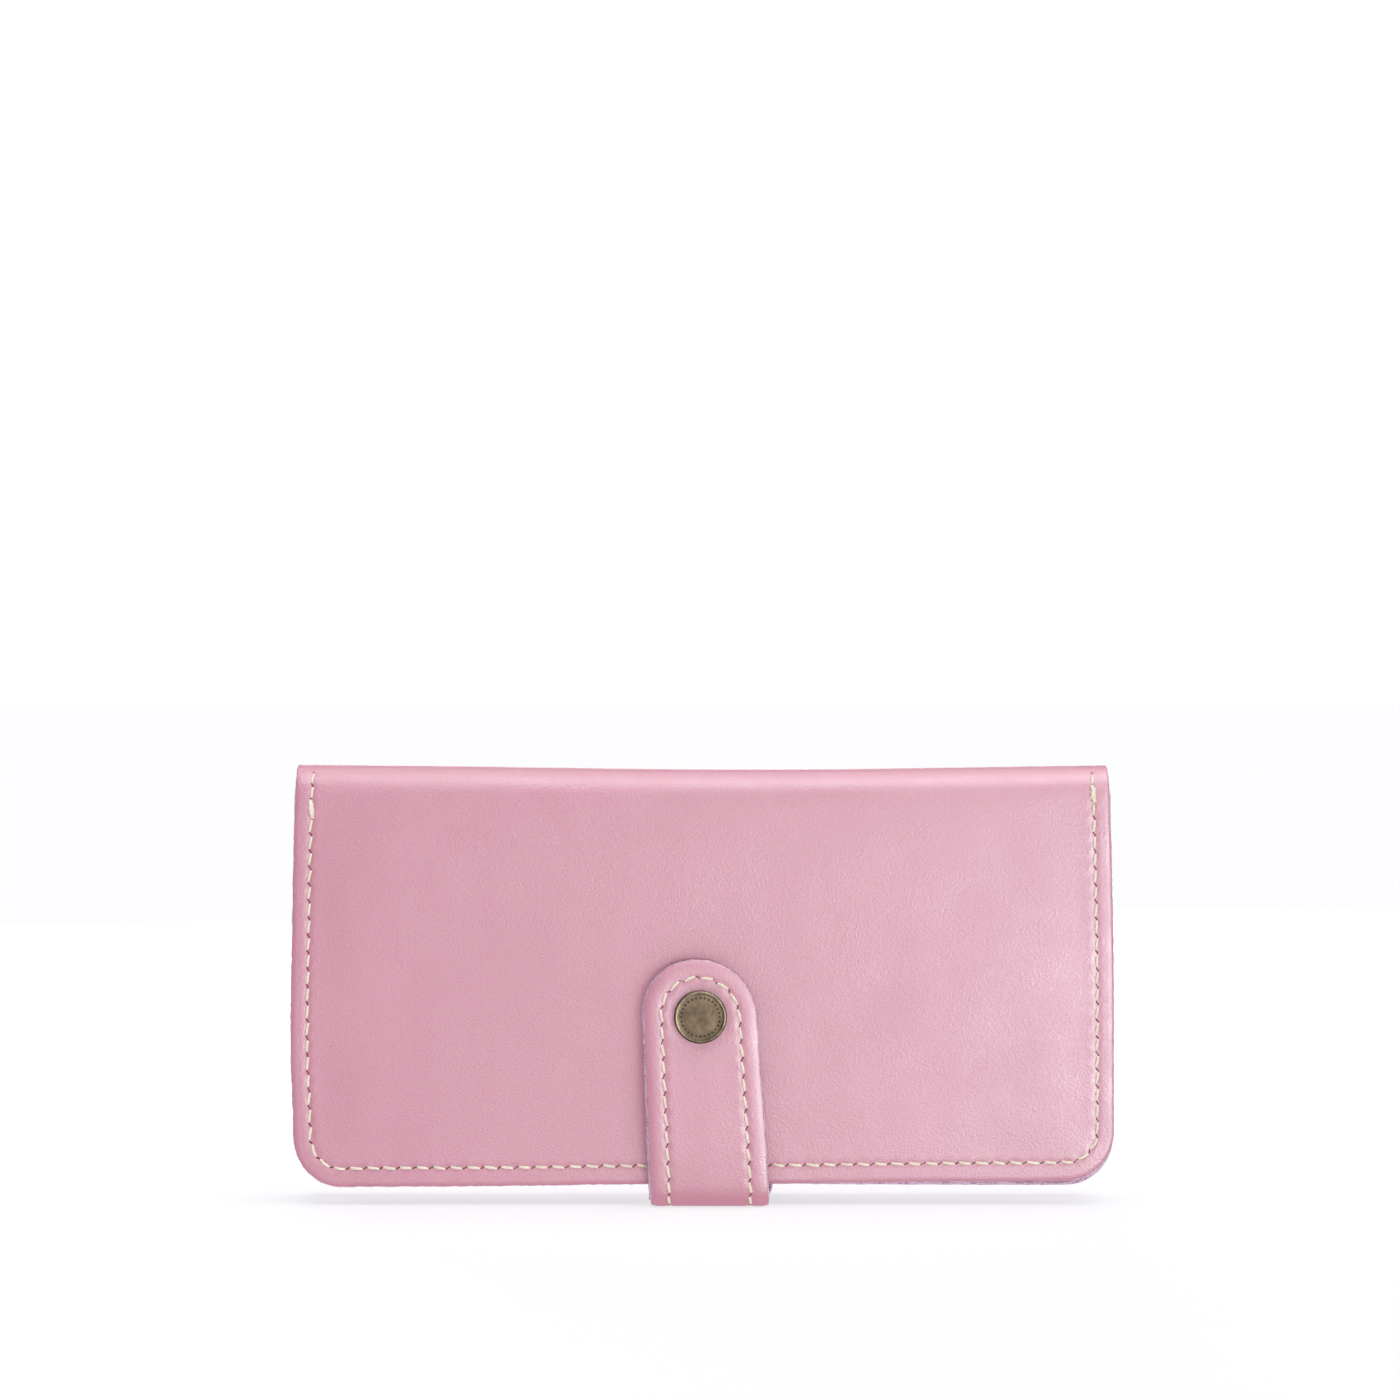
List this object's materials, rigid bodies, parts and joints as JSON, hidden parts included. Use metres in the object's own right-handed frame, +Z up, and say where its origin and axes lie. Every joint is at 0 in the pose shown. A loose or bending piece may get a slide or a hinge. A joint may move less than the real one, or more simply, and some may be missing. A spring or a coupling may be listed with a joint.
{
  "type": "long wallet",
  "caption": "Long folding leather wallet with a zipped pocket, stacked card slots and a wrap-round closing strap held by a brass snap, standing on its strap.",
  "frame": {"origin": "on the underside of the strap loop that the wallet stands on, below the middle of the fold", "axes": "+X along the fold to the wallet's right, +Y from the front cover to the back cover, +Z up to the fold"},
  "size_m": [0.195, 0.029, 0.1046],
  "materials": {
    "outer_leather": "pink full-grain leather, satin, fine pebbled grain",
    "inner_leather": "the same pink leather, thinner, with pale lavender cut edges",
    "thread": "cream waxed thread",
    "lining_cloth": "plain woven cotton",
    "zip_tape": "herringbone woven tape",
    "zip_metal": "antique brass",
    "antique_brass": "antique brass, dark, rubbed bright at the rim"
  },
  "bodies": {
    "back_half": {"back_cover": "outer_leather", "bill_panel": "inner_leather", "card_tier_1": "inner_leather", "card_tier_2": "inner_leather", "card_tier_3": "inner_leather", "card_tier_4": "inner_leather", "back_seam_thread": "thread", "card_divider_thread": "thread", "strap_anchor": "outer_leather", "strap_anchor_lining": "inner_leather", "strap_anchor_thread": "thread", "strap_bend": "outer_leather", "strap_bend_lining": "inner_leather"},
    "fold_crest": {"fold_crest": "outer_leather"},
    "front_half": {"front_cover": "outer_leather", "coin_lining": "lining_cloth", "zip_panel": "inner_leather", "zip_tape_upper": "zip_tape", "zip_tape_lower": "zip_tape", "zip_teeth_upper": "zip_metal", "zip_teeth_lower": "zip_metal", "zip_top_stops": "zip_metal", "zip_bottom_stop": "zip_metal", "zip_window_thread": "thread", "front_seam_thread": "thread", "snap_stud": "antique_brass", "snap_post": "antique_brass"},
    "zip_slider": {"zip_slider": "zip_metal"},
    "zip_pull": {"zip_pull": "zip_metal"},
    "closing_tab": {"strap_flap": "outer_leather", "strap_flap_lining": "inner_leather", "strap_flap_thread": "thread", "snap_cap": "antique_brass", "snap_socket": "antique_brass", "snap_spring": "antique_brass"}
  },
  "joints": [
    {"name": "cover_fold", "type": "hinge", "parent": "back_half", "child": "fold_crest", "pos_m": [0, 0.00438, 0.10278], "axis": [-1, 0, 0], "range_deg": [0, 87.7], "deforming": ["strap_flap", "strap_flap_lining", "strap_flap_thread"]},
    {"name": "cover_fold_front", "type": "hinge", "parent": "fold_crest", "child": "front_half", "pos_m": [0, -0.00438, 0.10278], "axis": [-1, 0, 0], "range_deg": [0, 87.7]},
    {"name": "tab_swing", "type": "hinge", "parent": "back_half", "child": "closing_tab", "pos_m": [0, -0.01395, 0.00186], "axis": [1, 0, 0], "range_deg": [0, 90], "deforming": ["strap_bend", "strap_bend_lining"]},
    {"name": "zip_slide", "type": "slide", "parent": "front_half", "child": "zip_slider", "axis": [1, 0, 0], "range_m": [0, 0.146], "deforming": ["zip_teeth_upper", "zip_teeth_lower"]},
    {"name": "zip_pull_swing", "type": "hinge", "parent": "zip_slider", "child": "zip_pull", "pos_m": [-0.075, -0.00023, 0.07639], "axis": [0, 0.9992, -0.0401], "range_deg": [-85, 85]}
  ],
  "couplings": [
    {"joint": "cover_fold_front", "follows": "cover_fold", "ratio": 1}
  ]
}
